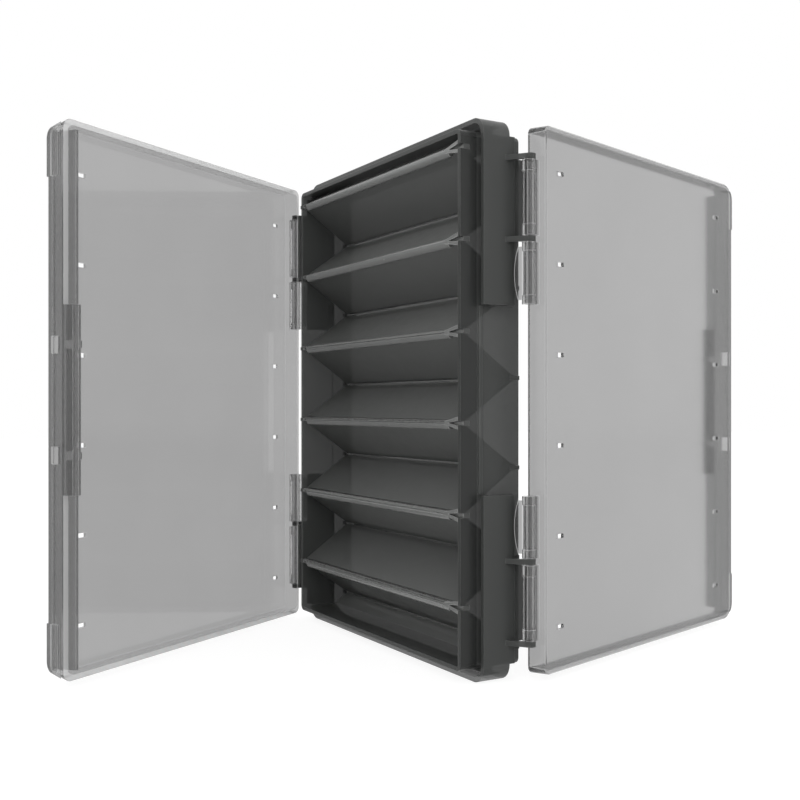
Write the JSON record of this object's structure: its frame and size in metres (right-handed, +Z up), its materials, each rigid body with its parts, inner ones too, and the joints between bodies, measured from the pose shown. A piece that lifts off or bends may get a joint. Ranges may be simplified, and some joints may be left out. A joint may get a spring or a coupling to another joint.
{
  "type": "double-sided lure box",
  "caption": "Two-sided lure case: smoke-grey frame with slanted dividers open on both faces, and a clear grey lid hinged on opposite long edges.",
  "frame": {"origin": "middle of the grip band's bottom face, on which the box stands", "axes": "+Z up along the box's height, +X across the case from the front lid's hinge side to the back lid's, -Y out of the front face"},
  "size_m": [0.1622, 0.2993, 0.206],
  "materials": {
    "case": "gloss",
    "ridge": "gloss",
    "divider": "gloss",
    "pin": "gloss",
    "lid": "gloss"
  },
  "bodies": {
    "case": {"case_frame": "case", "front_ridge_bar_1": "ridge", "front_ridge_bar_2": "ridge", "front_ridge_bar_3": "ridge", "front_ridge_bar_4": "ridge", "front_ridge_bar_5": "ridge", "front_ridge_bar_6": "ridge", "back_ridge_bar_1": "ridge", "back_ridge_bar_2": "ridge", "back_ridge_bar_3": "ridge", "back_ridge_bar_4": "ridge", "back_ridge_bar_5": "ridge", "back_ridge_bar_6": "ridge", "divider_plate_1": "divider", "divider_plate_2": "divider", "divider_plate_3": "divider", "divider_plate_4": "divider", "divider_plate_5": "divider", "divider_plate_6": "divider", "divider_plate_7": "divider", "divider_plate_8": "divider", "divider_plate_9": "divider", "divider_plate_10": "divider", "divider_plate_11": "divider", "end_plate_top": "divider", "end_plate_bottom": "divider", "front_hinge_pin_upper": "pin", "front_hinge_pin_lower": "pin", "back_hinge_pin_upper": "pin", "back_hinge_pin_lower": "pin"},
    "front_lid": {"front_lid": "lid"},
    "back_lid": {"back_lid": "lid"}
  },
  "joints": [
    {"name": "front_lid_hinge", "type": "hinge", "parent": "case", "child": "front_lid", "pos_m": [-0.0779, -0.0105, 0.103], "axis": [0, 0, 1], "range_deg": [-121, 59]},
    {"name": "back_lid_hinge", "type": "hinge", "parent": "case", "child": "back_lid", "pos_m": [0.0779, 0.0105, 0.103], "axis": [0, 0, 1], "range_deg": [-106.3, 73.7]}
  ]
}
